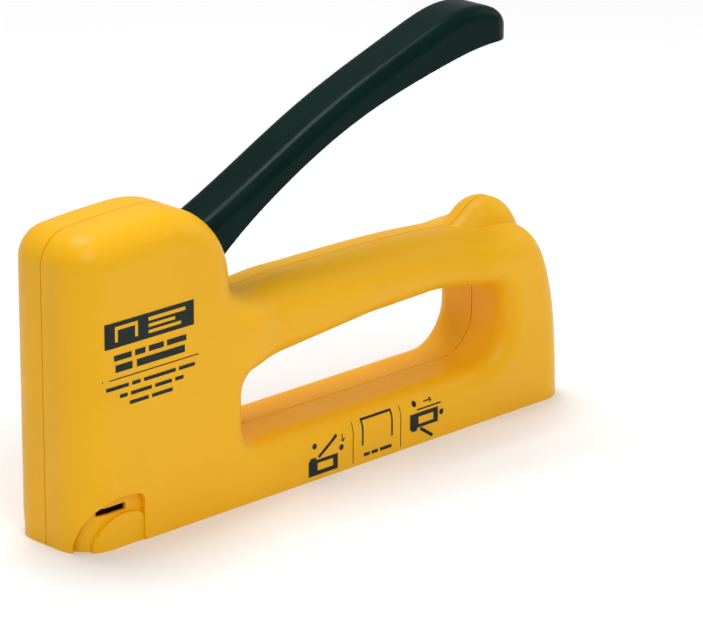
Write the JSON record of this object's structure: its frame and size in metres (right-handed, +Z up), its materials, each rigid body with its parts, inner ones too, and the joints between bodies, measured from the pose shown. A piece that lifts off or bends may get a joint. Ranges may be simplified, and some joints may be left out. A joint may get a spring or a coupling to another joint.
{
  "type": "staple gun",
  "caption": "hand-squeezed staple gun with a yellow two-shell body, finger loop, dark pressed-steel lever, sprung striker and a staple rail that pulls out at the tail",
  "frame": {"origin": "middle of the underside that the tool stands on, on the parting plane of the two shells", "axes": "+X from the nose, where staples leave, towards the tail; +Z up, away from the work surface; +Y completes the right-handed frame, and the printed side faces -Y"},
  "size_m": [0.1633, 0.027, 0.1045],
  "materials": {
    "yellow_shell": "moulded ABS, satin gloss, fine even grain",
    "dark_green_paint": "stoved enamel on pressed steel, glossy green-black",
    "bright_steel": "hardened strip, lengthwise grain",
    "zinc_steel": "zinc plated, soft sheen",
    "spring_steel": "oiled drawn wire and spring strip",
    "black_rubber": "moulded rubber, matte",
    "white_acetal": "natural acetal, turned",
    "black_cap": "moulded nylon, matte"
  },
  "bodies": {
    "core": {"left_shell": "yellow_shell", "right_shell": "yellow_shell", "housing_screws": "zinc_steel", "core_frame": "zinc_steel", "nose_plate": "bright_steel", "spring_seat": "zinc_steel", "bumper": "black_rubber", "power_spring": "spring_steel", "lever_pin": "bright_steel", "pin_clips": "spring_steel", "lever_bushes": "white_acetal", "return_spring": "spring_steel", "magazine_channel": "bright_steel", "rail_latch": "spring_steel", "latch_rivets": "bright_steel"},
    "lever_body": {"lever": "dark_green_paint", "lift_tongue": "bright_steel", "tongue_rivets": "bright_steel"},
    "striker_body": {"striker": "bright_steel"},
    "magazine": {"feed_rail": "bright_steel", "guide_rod": "bright_steel", "magazine_cap": "black_cap", "pusher_spring": "spring_steel"},
    "follower": {"pusher": "bright_steel"}
  },
  "joints": [
    {"name": "lever_pivot", "type": "hinge", "parent": "core", "child": "lever_body", "pos_m": [-0.04475, 0, 0.059], "axis": [0, 1, 0], "range_deg": [0, 21], "stiffness_Nm_per_rad": 2.5, "springref_deg": -14.32, "deforming": ["return_spring"]},
    {"name": "striker_slide", "type": "slide", "parent": "core", "child": "striker_body", "axis": [0, 0, 1], "range_m": [0, 0.012], "deforming": ["power_spring"]},
    {"name": "magazine_slide", "type": "slide", "parent": "core", "child": "magazine", "axis": [1, 0, 0], "range_m": [0, 0.105]},
    {"name": "pusher_slide", "type": "slide", "parent": "magazine", "child": "follower", "axis": [1, 0, 0], "range_m": [0, 0.1], "stiffness_N_per_m": 25, "springref_m": -0.05, "deforming": ["pusher_spring"]}
  ],
  "couplings": [
    {"joint": "striker_slide", "follows": "lever_pivot", "m_per_rad": 0.0324}
  ]
}
